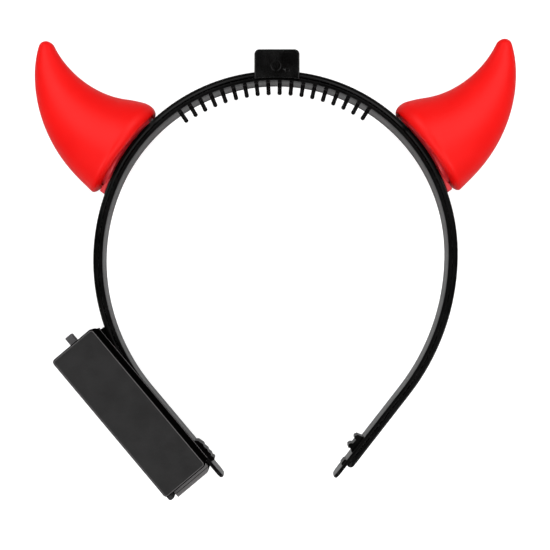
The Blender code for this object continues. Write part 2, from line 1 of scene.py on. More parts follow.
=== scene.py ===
"""Light-up devil horns headband, lying on its side on a pale table."""

from math import atan2, ceil, cos, degrees, pi, radians, sin, sqrt

import bpy
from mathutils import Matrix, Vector


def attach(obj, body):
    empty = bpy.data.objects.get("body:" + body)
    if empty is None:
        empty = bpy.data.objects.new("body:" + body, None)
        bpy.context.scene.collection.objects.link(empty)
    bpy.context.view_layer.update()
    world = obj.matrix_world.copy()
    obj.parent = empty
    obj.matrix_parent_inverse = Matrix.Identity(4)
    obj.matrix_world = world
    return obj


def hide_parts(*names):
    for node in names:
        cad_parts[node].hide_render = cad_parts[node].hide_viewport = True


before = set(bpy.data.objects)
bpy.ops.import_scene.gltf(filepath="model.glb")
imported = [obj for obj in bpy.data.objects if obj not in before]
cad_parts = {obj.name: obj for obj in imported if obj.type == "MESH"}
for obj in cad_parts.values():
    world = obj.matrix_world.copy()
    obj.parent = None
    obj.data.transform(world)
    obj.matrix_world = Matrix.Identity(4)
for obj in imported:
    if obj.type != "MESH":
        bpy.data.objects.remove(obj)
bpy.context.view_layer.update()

# Pieces are drawn in millimetres about the middle of the crown arc, as the solids are.
MM = 0.001
CROWN = Vector((0.355, 5.071, 0.0))
MID = 13.0
GAP = 0.3

# The hoop's inner line. The columns are the radius and the turn in degrees.
CROWN_RADIUS = 62.95
RIGHT_ARCS = (
    (62.9, 89.0),
    (80.3, 38.9),
)
LEFT_ARCS = (
    (62.95, 66.1),
    (69.7, 35.95),
    (73.8, 27.98),
)
RIGHT_LEG = 41.0
LEFT_LEG = 42.3
ARC_STEP = 2.4

BAND_THICK = 1.3
CROWN_DEPTH = 13.1
EAR_DEPTH = 9.8
TIP_DEPTH = 9.3
CROWN_TO_EAR = 110.0

COVER_OUTER = 3.4
COVER_RIGHT_TONGUE = 6.4
LEFT_STOP = 136.5

# Comb teeth, counted and placed about the crown in degrees.
TOOTH_COUNT = 18
TOOTH_PITCH = 3.92
TOOTH_CENTRE = 0.8

# Grips near the tips. The columns are the distance toward the crown and the height.
RIGHT_GRIP = (
    (-1.2, 0.0),
    (-0.2, 1.4),
    (-0.6, 2.1),
    (0.4, 2.8),
    (1.4, 2.4),
    (1.8, 1.7),
    (3.6, 1.7),
    (3.4, 2.3),
    (4.3, 2.8),
    (5.4, 2.2),
    (5.7, 1.0),
    (6.1, 0.0),
)
RIGHT_HUMP = (
    (-1.4, 0.0),
    (-0.9, 0.6),
    (0.9, 0.6),
    (1.4, 0.0),
)
LEFT_GRIP = (
    (-0.3, 0.0),
    (-0.5, 1.1),
    (0.2, 1.6),
    (1.2, 1.2),
    (2.0, 1.6),
    (3.2, 1.3),
    (4.2, 1.6),
    (5.6, 1.3),
    (6.6, 1.6),
    (8.0, 1.2),
    (8.8, 1.0),
    (9.6, 0.0),
)

LEFT_HORN = 55.4
RIGHT_HORN = 54.8
HORN_BEND = ((0.0, 0.0), (22.2, -5.7), (41.5, 6.1), (48.0, 16.4))
HORN_RIM = 4.0
HORN_TIP = 1.8
MOUTH_TILT = radians(3.0)

# Comb teeth and grips: how deep they are set in the band, how far the teeth reach and how thick they are.
# The columns of the tooth's rounded end are the distance from its tip and the radius.
TOOTH_SINK = 0.6
TOOTH_REACH = 4.3
TOOTH_RADIUS = 0.8
TOOTH_FULLNESS = 1.18
TOOTH_END = (
    (1.5, 0.76),
    (0.8, 0.82),
    (0.48, 0.77),
    (0.22, 0.62),
    (0.06, 0.38),
    (0.0, 0.14),
)
GRIP_SINK = 0.5
GRIP_HALF = 3.0
RIGHT_GRIP_BACK = 12.4
RIGHT_HUMP_BACK = 6.6
LEFT_GRIP_BACK = 7.4

# Rounded ends of the comb strip and of the cover.
TONGUE_RADIUS = 3.2
TONGUE_BACKS = (3.2, 2.5, 1.8, 1.2, 0.7, 0.35, 0.12, 0.02)
TONGUE_SHOULDER = 3.9
NOSE_TAPER = 0.45
NOSE_RUN = 0.6
COVER_END = 1.6
COVER_BACKS = (1.6, 1.1, 0.7, 0.4, 0.18, 0.04)
COVER_SHOULDER = 2.2
COVER_END_DROP = 0.9
COVER_END_TAPER = 1.2
COVER_GROOVE = 0.14
COVER_LIP = 0.36

# The low pad under each horn. Its start and turn are in degrees from the horn's middle.
PAD_RISE = 0.85
PAD_SINK = 0.5
PAD_START = -4.0
PAD_TURN = 10.7
PAD_DEPTH = 8.0

# The light housing over the crown.
HOUSING_SIDES = (-8.0, 8.4)
HOUSING_HEM = 60.7
HOUSING_TOP = 73.9
HOUSING_WALL = 1.2
HOUSING_CORNER = 1.8
HOUSING_ARCH = 63.7
HOUSING_SOFTNESS = 0.45
MARK_PLACE = (-0.15, 67.9)
MARK_RADIUS = 1.8
MARK_DEPTH = 0.35
PIN_PLACE = (4.0, 66.3)
PIN_RADIUS = 0.72
PIN_DEPTH = 1.0

# The horn's half width and half depth, how they shrink toward the tip, and the hollow in its mouth.
HORN_SEAT = 66.6
HORN_HALF_WIDTH = 20.0
HORN_WIDTH_RUN = 59.7
HORN_WIDTH_POWER = 1.12
HORN_HALF_DEPTH = 13.8
HORN_DEPTH_LOSS = 0.211
MOUTH_RUN = 8.0
MOUTH_WALL = 0.7
HORN_SIDES = 56

# Steps of the hollow. The columns are the depth, the shift toward the crown and the size kept.
HOLLOW_STEPS = (
    (3.0, -0.4, 1.0),
    (7.0, -0.6, 0.9),
    (8.0, 0.0, 0.82),
    (6.0, 1.2, 0.66),
)

# The base's plug. The columns are the radius on the head, the half width and the half depth.
PLUG_RINGS = (
    (66.0, 15.3, 9.14),
    (69.0, 15.1, 8.94),
    (69.5, 14.8, 8.64),
    (69.8, 14.2, 8.04),
)
SADDLE_RADII = (62.6, 66.3)
SADDLE_DOWN = 17.9
SADDLE_UP = 13.3
SADDLE_HALF = 4.5

# The battery case in its own frame: X along it, Y outward from the crown's middle, Z up.
CASE_TURN = -50.03
CASE_OUTER = -86.7
CASE_TOP = 26.0
FRONT_RUN = (-21.9, 42.0)
FRONT_INNER = -67.75
FRONT_FOOT = 17.75
FRONT_FLARE = 0.8
FRONT_CORNER = 1.5
FRONT_BEVEL = 0.8
BODY_RUN = (-20.7, 45.1)
BODY_INNER = -68.8
BODY_CORNER = 2.2
LEDGE = 19.0
DOOR_END = 43.9
FINGER_GROOVES = 6
KNOB_RIDGES = 3

# Boxes in the case's frame, each as its (from, to) along X, Y and Z.
HOOP_HOLDER = ((-19.9, -6.0), (-69.8, -60.0), (8.5, 17.95))
LEDGE_SEAM = ((43.5, 43.72), (-83.9, -68.0), (LEDGE - 0.45, LEDGE + 1.0))
DOOR_SLOT = ((-10.3, 50.0), (-88.7, -85.9), (2.4, 23.6))
RAIL_SLOT = ((-10.3, 50.0), (-86.0, -84.4), (1.6, 24.4))
BATTERY_BAY = ((-8.5, 40.2), (-84.8, -71.0), (2.0, 24.0))
SWITCH_BAY = ((-19.2, -11.9), (-85.0, -71.0), (2.0, 24.0))
SWITCH_HOLE = ((-24.9, -18.2), (-80.45, -76.75), (10.2, 15.8))
DOOR_PLATE = ((-10.0, DOOR_END), (CASE_OUTER, -85.6), (2.7, 23.3))
DOOR_TONGUE = ((-9.99, DOOR_END - 0.1), (-85.7, -84.7), (1.9, 24.1))
THUMB_LIP = ((38.9, 39.9), (-87.2, -86.3), (8.0, 18.0))
KNOB_STEM = ((-26.1, -18.4), (-80.15, -77.05), (10.5, 13.5))
KNOB_FLANGE = ((-18.9, -17.7), (-81.6, -75.6), (7.9, 16.1))

# Room that the hoop needs beside the case: how far inward it reaches, its depth and where it starts.
ROOM_INWARD = 9.0
ROOM_DEPTH = 10.3
ROOM_START = 90.0

# Heights in metres at which the case's finish changes, and over which its painted highlights and painted side
# shade are laid.
LEDGE_BAND = (0.018, 0.0265)
FACE_EDGE = (0.02597, 0.025995)

# The case's side colours, and the shares of the ledge band at which each one starts: sides painted near black
# as shade, a painted highlight on the ledge's top and a painted highlight along the front face's edge.
SIDE_SHADE_BLACK = (0.0015, 0.0014, 0.0014)
LEDGE_HIGHLIGHT_GREY = (0.15, 0.145, 0.145)
EDGE_HIGHLIGHT_GREY = (0.11, 0.107, 0.107)
SIDE_LIGHT_BANDS = (
    (0.153, SIDE_SHADE_BLACK),
    (0.929, EDGE_HIGHLIGHT_GREY),
    (0.941, SIDE_SHADE_BLACK),
)

# Heights in metres between which the comb strip's colour changes; the painted sheen streaks lie along the
# middle of this span.
STRIP_SHEEN_BAND = (0.006, 0.02)

# Lens in millimetres, and in metres the camera's shift from the crown's middle and its height.
LENS = 65.65
CAMERA_SHIFT = (-0.0005, -0.00791)
CAMERA_HEIGHT = 0.384

# Four soft lights: distance and width in metres, power in watts.
LIGHT_TURNS = (45, 135, 225, 315)
LIGHT_LIFT = radians(52)
LIGHT_DISTANCE = 1.05
LIGHT_WIDTH = 0.75
LIGHT_POWER = 4.6
SKY_STRENGTH = 0.6

# The table glows a little for the camera only, so that it stays pale beside the pieces.
FLOOR_GLOW = 0.75


# Selecting and finishing

def deselect():
    if bpy.context.object and bpy.context.object.mode != "OBJECT":
        bpy.ops.object.mode_set(mode="OBJECT")
    bpy.ops.object.select_all(action="DESELECT")


def only(obj):
    deselect()
    obj.select_set(True)
    bpy.context.view_layer.objects.active = obj


def settle(obj, name, flat_faces=True):
    """Put a finished piece at its place in metres, with its place in its mesh."""
    only(obj)
    obj.name = name
    obj.data.name = name
    obj.scale = obj.scale * MM
    obj.location = (obj.location + CROWN) * MM
    bpy.ops.object.transform_apply(location=True, rotation=True, scale=True)
    bpy.ops.object.shade_smooth_by_angle(angle=radians(35))
    if flat_faces:
        apply(obj, "WEIGHTED_NORMAL", keep_sharp=True)


def dress(obj, body, surface, node):
    """Give a piece its material, the body that it rides on and the solid that it replaces."""
    obj.data.materials.clear()
    obj.data.materials.append(surface)
    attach(obj, body)
    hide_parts(node)


# Materials

def new_material(name):
    made = bpy.data.materials.new(name)
    made.use_nodes = True
    return made, made.node_tree, made.node_tree.nodes["Principled BSDF"]


def noise(tree, scale, detail):
    place = tree.nodes.new("ShaderNodeTexCoord")
    made = tree.nodes.new("ShaderNodeTexNoise")
    made.inputs["Scale"].default_value = scale
    made.inputs["Detail"].default_value = detail
    tree.links.new(place.outputs["Object"], made.inputs["Vector"])
    return made


def ramp(tree, source, low, high, low_value, high_value):
    """Map a texture's range onto two grey levels or two colours."""
    made = tree.nodes.new("ShaderNodeValToRGB")
    made.color_ramp.elements[0].position = low
    made.color_ramp.elements[1].position = high
    made.color_ramp.elements[0].color = (*low_value, 1.0)
    made.color_ramp.elements[1].color = (*high_value, 1.0)
    tree.links.new(source, made.inputs["Fac"])
    return made


def relief(tree, shader, grain, strength, distance):
    """Raise a fine noise on the surface."""
    fine = noise(tree, grain, 2.0)
    made = tree.nodes.new("ShaderNodeBump")
    made.inputs["Strength"].default_value = strength
    made.inputs["Distance"].default_value = distance
    tree.links.new(fine.outputs["Fac"], made.inputs["Height"])
    tree.links.new(made.outputs["Normal"], shader.inputs["Normal"])


def mottle(tree, shader, scale, detail, colours, reach, glosses):
    """Vary a surface's colour over the reach of a soft noise, and its gloss with it."""
    cloud = noise(tree, scale, detail)
    colour = ramp(tree, cloud.outputs["Fac"], reach[0], reach[1], *colours)
    tree.links.new(colour.outputs["Color"], shader.inputs["Base Color"])
    gloss = ramp(tree, cloud.outputs["Fac"], 0.3, 0.7, (glosses[0],) * 3, (glosses[1],) * 3)
    tree.links.new(gloss.outputs["Color"], shader.inputs["Roughness"])


def height_above(tree):
    """The height above the table, in metres."""
    place = tree.nodes.new("ShaderNodeTexCoord")
    split = tree.nodes.new("ShaderNodeSeparateXYZ")
    tree.links.new(place.outputs["Object"], split.inputs[0])
    return split.outputs["Z"]


def rescale(tree, source, span, low=0.0, high=1.0):
    """Map a span of the source's values onto low to high."""
    made = tree.nodes.new("ShaderNodeMapRange")
    for socket, value in zip(("From Min", "From Max", "To Min", "To Max"), (*span, low, high)):
        made.inputs[socket].default_value = value
    tree.links.new(source, made.inputs["Value"])
    return made.outputs["Result"]


def blend_into(tree, socket, factor, other, keep_at_one):
    """Blend a shader socket's source with another colour or source, and link the result back."""
    made = tree.nodes.new("ShaderNodeMix")
    made.data_type = "RGBA"
    tree.links.new(factor, made.inputs["Factor"])
    sides = [s for s in made.inputs if s.type == "RGBA"]
    kept, added = reversed(sides) if keep_at_one else sides
    tree.links.new(socket.links[0].from_socket, kept)
    if isinstance(other, tuple):
        added.default_value = (*other, 1.0)
    else:
        tree.links.new(other, added)
    tree.links.new([s for s in made.outputs if s.type == "RGBA"][0], socket)


def moulded(name, dark, light, roughness, grain, grain_depth, gleam=0.2):
    """Moulded plastic: faint mottling in colour and gloss over a fine grain."""
    made, tree, shader = new_material(name)
    mottle(tree, shader, 160.0, 4.0, (dark, light), (0.35, 0.7), (roughness - 0.05, roughness + 0.06))
    shader.inputs["Specular IOR Level"].default_value = gleam
    relief(tree, shader, grain, 0.35, grain_depth)
    return made


def sheen_streaked_plastic(name):
    """The comb strip's plastic: painted sheen as pale fine streaks along the middle of its depth, teeth and
    grips black.
    """
    made = moulded(name, (0.001, 0.0009, 0.0009), (0.002, 0.0018, 0.0018), 0.22, 2600.0, 0.00001)
    tree = made.node_tree
    shader = tree.nodes["Principled BSDF"]
    lines = noise(tree, 1.0, 2.0)
    place = lines.inputs["Vector"].links[0].from_socket
    stretch = tree.nodes.new("ShaderNodeMapping")
    stretch.inputs["Scale"].default_value = (14.0, 14.0, 1900.0)
    tree.links.new(place, stretch.inputs["Vector"])
    tree.links.new(stretch.outputs["Vector"], lines.inputs["Vector"])
    # Painted sheen: pale streaks in the base colour stand in for the light reflected along the strip's faces.
    pale = ramp(tree, lines.outputs["Fac"], 0.36, 0.66, (0.006, 0.0056, 0.0057), (0.07, 0.067, 0.068))
    depth = rescale(tree, height_above(tree), STRIP_SHEEN_BAND)
    middle = ramp(tree, depth, 0.2, 0.4, (0, 0, 0), (1, 1, 1))
    middle.color_ramp.elements.new(0.62).color = (1, 1, 1, 1)
    middle.color_ramp.elements.new(0.8).color = (0, 0, 0, 1)
    black = tree.nodes.new("ShaderNodeAttribute")
    black.attribute_name = "black_part"
    sheen_mask = tree.nodes.new("ShaderNodeMath")
    sheen_mask.operation = "SUBTRACT"
    sheen_mask.use_clamp = True
    tree.links.new(middle.outputs["Color"], sheen_mask.inputs[0])
    tree.links.new(black.outputs["Fac"], sheen_mask.inputs[1])
    blend_into(tree, shader.inputs["Base Color"], sheen_mask.outputs[0], pale.outputs["Color"], keep_at_one=False)
    gleam = rescale(tree, sheen_mask.outputs[0], (0.0, 1.0), 0.08, 0.34)
    tree.links.new(gleam, shader.inputs["Specular IOR Level"])
    return made


def spark_textured_painted_light(name):
    """The case's plastic: a spark-textured front, smooth sides painted darker than the front as shade, and
    painted highlights on the ledge and along the face edge.
    """
    made = moulded(name, (0.007, 0.0066, 0.0068), (0.011, 0.0106, 0.0108), 0.42, 2100.0, 0.0001, 0.25)
    tree = made.node_tree
    shader = tree.nodes["Principled BSDF"]
    height = height_above(tree)
    front = rescale(tree, height, FACE_EDGE)
    # Painted light: the sides darker than the front as painted shade, and light grey strips as painted
    # highlights on the ledge's top and at the front face's edge.
    sides = ramp(tree, rescale(tree, height, LEDGE_BAND), 0.0, 0.07, SIDE_SHADE_BLACK, LEDGE_HIGHLIGHT_GREY)
    sides.color_ramp.interpolation = "CONSTANT"
    for position, colour in SIDE_LIGHT_BANDS:
        sides.color_ramp.elements.new(position).color = (*colour, 1.0)
    blend_into(tree, shader.inputs["Base Color"], front, sides.outputs["Color"], keep_at_one=True)
    blend_into(tree, shader.inputs["Roughness"], front, (0.3, 0.3, 0.3), keep_at_one=True)
    tree.links.new(rescale(tree, height, FACE_EDGE, 0.0, 0.22), shader.inputs["Specular IOR Level"])
    return made


def soft_vinyl(name):
    """Matte red vinyl: a little light passes into it and a faint skin grain breaks the gloss."""
    made, tree, shader = new_material(name)
    mottle(tree, shader, 60.0, 3.0, ((0.84, 0.002, 0.0015), (0.9, 0.004, 0.003)), (0.3, 0.75), (0.4, 0.46))
    shader.inputs["Specular IOR Level"].default_value = 0.2
    shader.inputs["Subsurface Weight"].default_value = 0.3
    shader.inputs["Subsurface Radius"].default_value = (1.0, 0.12, 0.08)
    shader.inputs["Subsurface Scale"].default_value = 0.003
    relief(tree, shader, 3200.0, 0.2, 0.00004)
    return made


def clear_vinyl(name):
    """Translucent red moulding with faint flow marks."""
    made, tree, shader = new_material(name)
    mottle(tree, shader, 220.0, 4.0, ((0.88, 0.014, 0.024), (0.98, 0.05, 0.07)), (0.3, 0.7), (0.3, 0.4))
    shader.inputs["Transmission Weight"].default_value = 0.45
    shader.inputs["IOR"].default_value = 1.48
    relief(tree, shader, 700.0, 0.25, 0.00005)
    return made


comb_black = sheen_streaked_plastic("comb_black")
cover_black = moulded("cover_black", (0.001, 0.0009, 0.0009), (0.002, 0.0018, 0.0018),
                      0.19, 2600.0, 0.00001, 0.13)
housing_black = moulded("housing_black", (0.001, 0.0009, 0.0009), (0.0018, 0.0017, 0.0017),
                        0.17, 3000.0, 0.00001, 0.3)
case_black = spark_textured_painted_light("case_black")
door_black = moulded("door_black", (0.009, 0.0086, 0.0088), (0.014, 0.0135, 0.0138),
                     0.42, 4200.0, 0.00005, 0.25)
switch_grey = moulded("switch_grey", (0.06, 0.058, 0.06), (0.08, 0.078, 0.081),
                      0.45, 2600.0, 0.00002, 0.4)
horn_red = soft_vinyl("horn_red")
base_red = clear_vinyl("base_red")


# Modelling steps

def edit(obj):
    only(obj)
    bpy.ops.object.mode_set(mode="EDIT")


def object_mode():
    bpy.ops.object.mode_set(mode="OBJECT")


def pick_faces(obj, test):
    """In edit mode, select only the faces whose centre and normal pass the test."""
    bpy.ops.mesh.select_mode(type="FACE")
    bpy.ops.mesh.select_all(action="DESELECT")
    object_mode()
    for face in obj.data.polygons:
        face.select = test(face.center, face.normal)
    bpy.ops.object.mode_set(mode="EDIT")


def pick_edges(obj, test):
    """In edit mode, select only the edges whose two ends pass the test."""
    bpy.ops.mesh.select_mode(type="EDGE")
    bpy.ops.mesh.select_all(action="DESELECT")
    object_mode()
    spots = obj.data.vertices
    for edge in obj.data.edges:
        edge.select = test(spots[edge.vertices[0]].co, spots[edge.vertices[1]].co)
    bpy.ops.object.mode_set(mode="EDIT")


def outward_faces(obj):
    edit(obj)
    bpy.ops.mesh.select_all(action="SELECT")
    bpy.ops.mesh.normals_make_consistent(inside=False)
    object_mode()


def apply(obj, kind, **settings):
    """Add one modifier with its settings and apply it."""
    only(obj)
    step = obj.modifiers.new(kind, kind)
    for key, value in settings.items():
        setattr(step, key, value)
    bpy.ops.object.modifier_apply(modifier=step.name)


def soften(obj, width, segments=3, angle=40):
    apply(obj, "BEVEL", width=width, segments=segments, limit_method="ANGLE", angle_limit=radians(angle))


def carve(obj, tool, operation="DIFFERENCE"):
    apply(obj, "BOOLEAN", object=tool, operation=operation, solver="EXACT")
    bpy.data.objects.remove(tool, do_unlink=True)


def block(x, y, z):
    """A box from its three (from, to) ranges, ready to be shaped."""
    deselect()
    middle = [(a + b) / 2 for a, b in (x, y, z)]
    bpy.ops.mesh.primitive_cube_add(size=1, location=middle)
    obj = bpy.context.object
    obj.scale = [b - a for a, b in (x, y, z)]
    bpy.ops.object.transform_apply(location=True, rotation=True, scale=True)
    return obj


def round_bar(place, radius, z, sides):
    deselect()
    bpy.ops.mesh.primitive_cylinder_add(vertices=sides, radius=radius, depth=z[1] - z[0],
                                        location=(place[0], place[1], (z[0] + z[1]) / 2))
    obj = bpy.context.object
    bpy.ops.object.transform_apply(location=True, rotation=True, scale=True)
    return obj


def upright(obj, radius, segments):
    """Round the edges that stand along Z."""
    edit(obj)
    pick_edges(obj, lambda a, b: abs(a.z - b.z) > 1.0 and abs(a.x - b.x) + abs(a.y - b.y) < 0.01)
    bpy.ops.mesh.bevel(offset=radius, segments=segments, affect="EDGES")
    object_mode()


def turn_about_head(obj, angle):
    """Turn a piece about the middle of the crown arc and fix it there."""
    only(obj)
    obj.rotation_euler = (0, 0, angle)
    bpy.ops.object.transform_apply(location=True, rotation=True, scale=True)
    return obj


def join(first, others):
    deselect()
    for obj in [first] + others:
        obj.select_set(True)
    bpy.context.view_layer.objects.active = first
    bpy.ops.object.join()


# The hoop's line and the strips that follow it

def side_path(arcs, leg, side):
    """Stations from the crown to one tip: distance, x, y and the angle of the outward direction."""
    x, y, turned, distance = 0.0, CROWN_RADIUS, 0.0, 0.0
    stations = [(0.0, 0.0, y, pi / 2)]
    for radius, turn in arcs:
        steps = ceil(turn / ARC_STEP)
        for k in range(steps):
            following = turned + radians(turn) / steps
            x += radius * (sin(following) - sin(turned))
            y += radius * (cos(following) - cos(turned))
            turned = following
            distance += radius * radians(turn) / steps
            stations.append((distance, side * x, y, pi / 2 - side * turned))
    for k in range(1, 9):
        along = leg * k / 8
        stations.append((distance + along, side * (x + along * cos(turned)),
                         y - along * sin(turned), pi / 2 - side * turned))
    return stations


RIGHT_PATH = side_path(RIGHT_ARCS, RIGHT_LEG, 1)
LEFT_PATH = side_path(LEFT_ARCS, LEFT_LEG, -1)
RIGHT_END = RIGHT_PATH[-1][0]
LEFT_END = LEFT_PATH[-1][0]


def station_at(path, distance):
    for low, high in zip(path, path[1:]):
        if distance <= high[0]:
            break
    share = (distance - low[0]) / (high[0] - low[0])
    return tuple(a + (b - a) * share for a, b in zip(low, high))


def part_of(path, start, stop):
    inside = [s for s in path if start + 0.4 < s[0] < stop - 0.4]
    return [station_at(path, start)] + inside + [station_at(path, stop)]


def spot(station, offset, z=0.0):
    _, x, y, angle = station
    return Vector((x + cos(angle) * offset, y + sin(angle) * offset, z))


def band_depth(distance):
    if distance < CROWN_TO_EAR:
        return EAR_DEPTH + (CROWN_DEPTH - EAR_DEPTH) * (0.5 + 0.5 * cos(pi * distance / CROWN_TO_EAR))
    return max(TIP_DEPTH, EAR_DEPTH - (distance - CROWN_TO_EAR) * 0.0065)


def pull(rings):
    """Draw the selected face through rings of (centre, angle, width, depth)."""
    for before, after in zip(rings, rings[1:]):
        bpy.ops.mesh.extrude_region_move(TRANSFORM_OT_translate={"value": after[0] - before[0]})
        bpy.ops.transform.rotate(value=before[1] - after[1], orient_axis="Z", center_override=after[0])
        across = after[2] / before[2]
        bpy.ops.transform.resize(value=(across, across, after[3] / before[3]), center_override=after[0])


def sweep(rings, corner, segments=3):
    """A closed strip through rings, its section a rectangle with rounded corners."""
    centre, angle, width, depth = rings[0]
    deselect()
    bpy.ops.mesh.primitive_plane_add(size=1, location=centre, rotation=(pi / 2, 0, angle))
    obj = bpy.context.object
    obj.scale = (width, depth, 1)
    bpy.ops.object.transform_apply(location=True, rotation=True, scale=True)
    edit(obj)
    bpy.ops.mesh.select_all(action="SELECT")
    bpy.ops.mesh.bevel(offset=corner * width / max(r[2] for r in rings), segments=segments, affect="VERTICES")
    bpy.ops.mesh.select_all(action="SELECT")
    pull(rings)
    object_mode()
    outward_faces(obj)
    return obj


def strip_ring(station, inner, outer, depth):
    return (spot(station, (inner + outer) / 2, MID), station[3], outer - inner, depth)


def tongue(path, end):
    """Rings of the band's rounded end, from its shoulder to its nose."""
    rings = []
    for back in TONGUE_BACKS:
        station = station_at(path, end - back)
        inset = TONGUE_RADIUS - sqrt(max(0.0, TONGUE_RADIUS**2 - (TONGUE_RADIUS - back) ** 2))
        nose = NOSE_TAPER * max(0.0, 1 - back / NOSE_RUN) ** 1.5
        rings.append(strip_ring(station, nose, BAND_THICK - nose, band_depth(station[0]) - 2 * inset))
    return rings


def make_tooth():
    """One comb tooth at the crown: a slim oval bar, a little fuller before its rounded tip."""
    root, tip = CROWN_RADIUS + TOOTH_SINK, CROWN_RADIUS - TOOTH_REACH
    deselect()
    bpy.ops.mesh.primitive_circle_add(vertices=18, radius=TOOTH_RADIUS, fill_type="NGON",
                                      location=(0, root, MID), rotation=(pi / 2, 0, 0))
    tooth = bpy.context.object
    tooth.scale = (1, TOOTH_FULLNESS, 1)
    bpy.ops.object.transform_apply(location=True, rotation=True, scale=True)
    edit(tooth)
    bpy.ops.mesh.select_all(action="SELECT")
    rings = [(root, TOOTH_RADIUS)] + [(tip + back, size) for back, size in TOOTH_END]
    pull([(Vector((0, y, MID)), 0.0, size, size) for y, size in rings])
    object_mode()
    outward_faces(tooth)
    return tooth


def make_grip(path, end, back, rows):
    """A raised grip on the inner face, drawn as a row of points and then given its depth."""
    start = end - back
    here = spot(station_at(path, start), GRIP_SINK, MID - GRIP_HALF)
    deselect()
    bpy.ops.mesh.primitive_plane_add(size=1, location=here)
    grip = bpy.context.object
    bpy.ops.object.transform_apply(location=True, rotation=True, scale=True)
    edit(grip)
    bpy.ops.mesh.select_mode(type="VERT")
    bpy.ops.mesh.select_all(action="SELECT")
    bpy.ops.mesh.merge(type="CENTER")
    outline = [(rows[0][0], -GRIP_SINK)] + list(rows) + [(rows[-1][0], -GRIP_SINK)]
    for along, height in outline:
        there = spot(station_at(path, start - along), -height, MID - GRIP_HALF)
        bpy.ops.mesh.extrude_vertices_move(TRANSFORM_OT_translate={"value": there - here})
        here = there
    bpy.ops.mesh.select_all(action="SELECT")
    bpy.ops.mesh.remove_doubles(threshold=0.01)
    bpy.ops.mesh.edge_face_add()
    bpy.ops.mesh.select_all(action="SELECT")
    bpy.ops.mesh.extrude_region_move(TRANSFORM_OT_translate={"value": (0, 0, 2 * GRIP_HALF)})
    object_mode()
    outward_faces(grip)
    soften(grip, 0.15, 2, 30)
    return grip


def mark_black(obj, value):
    """Store on each point whether it belongs to a part that stays black, without the painted sheen."""
    mark = obj.data.attributes.new("black_part", "FLOAT", "POINT")
    mark.data.foreach_set("value", [value] * len(obj.data.vertices))


def make_comb_band():
    middle = list(reversed(part_of(LEFT_PATH, 0.0, LEFT_END - TONGUE_SHOULDER)))
    middle += part_of(RIGHT_PATH, 0.0, RIGHT_END - TONGUE_SHOULDER)[1:]
    rings = list(reversed(tongue(LEFT_PATH, LEFT_END)))
    rings += [strip_ring(s, 0.0, BAND_THICK, band_depth(s[0])) for s in middle]
    rings += tongue(RIGHT_PATH, RIGHT_END)
    band = sweep(rings, 0.28)
    tooth = make_tooth()
    teeth = [tooth]
    for k in range(1, TOOTH_COUNT):
        only(tooth)
        bpy.ops.object.duplicate()
        teeth.append(bpy.context.object)
    for k, copy in enumerate(teeth):
        turn_about_head(copy, -radians((k - (TOOTH_COUNT - 1) / 2) * TOOTH_PITCH - TOOTH_CENTRE))
    grips = [make_grip(RIGHT_PATH, RIGHT_END, RIGHT_GRIP_BACK, RIGHT_GRIP),
             make_grip(RIGHT_PATH, RIGHT_END, RIGHT_HUMP_BACK, RIGHT_HUMP),
             make_grip(LEFT_PATH, LEFT_END, LEFT_GRIP_BACK, LEFT_GRIP)]
    mark_black(band, 0.0)
    for part in teeth + grips:
        mark_black(part, 1.0)
    join(band, teeth + grips)
    settle(band, "comb_strip")
    dress(band, "headband", comb_black, "comb_band")


def make_pad(angle, side, grow=0.0):
    """The low pad under a horn, or with grow the pocket that it needs."""
    outer = CROWN_RADIUS + COVER_OUTER + PAD_RISE + grow
    inner = CROWN_RADIUS + COVER_OUTER - PAD_SINK - 2 * grow
    radius = (outer + inner) / 2
    more = degrees(grow / outer)
    rings = []
    for k in range(9):
        turn = pi / 2 - side * radians(angle + PAD_START - more + (PAD_TURN + 2 * more) * k / 8)
        centre = Vector((radius * cos(turn), radius * sin(turn), MID))
        rings.append((centre, turn, outer - inner, PAD_DEPTH + 2 * grow))
    return sweep(rings, 0.2, 2)


def make_wire_cover():
    middle = list(reversed(part_of(LEFT_PATH, 0.0, LEFT_STOP)))
    stop = RIGHT_END - COVER_RIGHT_TONGUE
    middle += part_of(RIGHT_PATH, 0.0, stop - COVER_SHOULDER)[1:]
    inner = BAND_THICK + GAP
    rings = [strip_ring(s, inner, COVER_OUTER, band_depth(s[0])) for s in middle]
    for back in COVER_BACKS:
        station = station_at(RIGHT_PATH, stop - back)
        drop = COVER_END - sqrt(COVER_END**2 - (COVER_END - back) ** 2)
        depth = band_depth(station[0]) - COVER_END_TAPER * drop
        rings.append(strip_ring(station, inner, COVER_OUTER - COVER_END_DROP * drop, depth))
    cover = sweep(rings, 0.3)
    edit(cover)
    for side in (1, -1):
        pick_faces(cover, lambda c, n: side * n.z > 0.95)
        bpy.ops.mesh.inset(thickness=COVER_LIP, depth=-COVER_GROOVE)
    object_mode()
    join(cover, [make_pad(LEFT_HORN, -1), make_pad(RIGHT_HORN, 1)])
    settle(cover, "cover_strip")
    dress(cover, "headband", cover_black, "wire_cover")


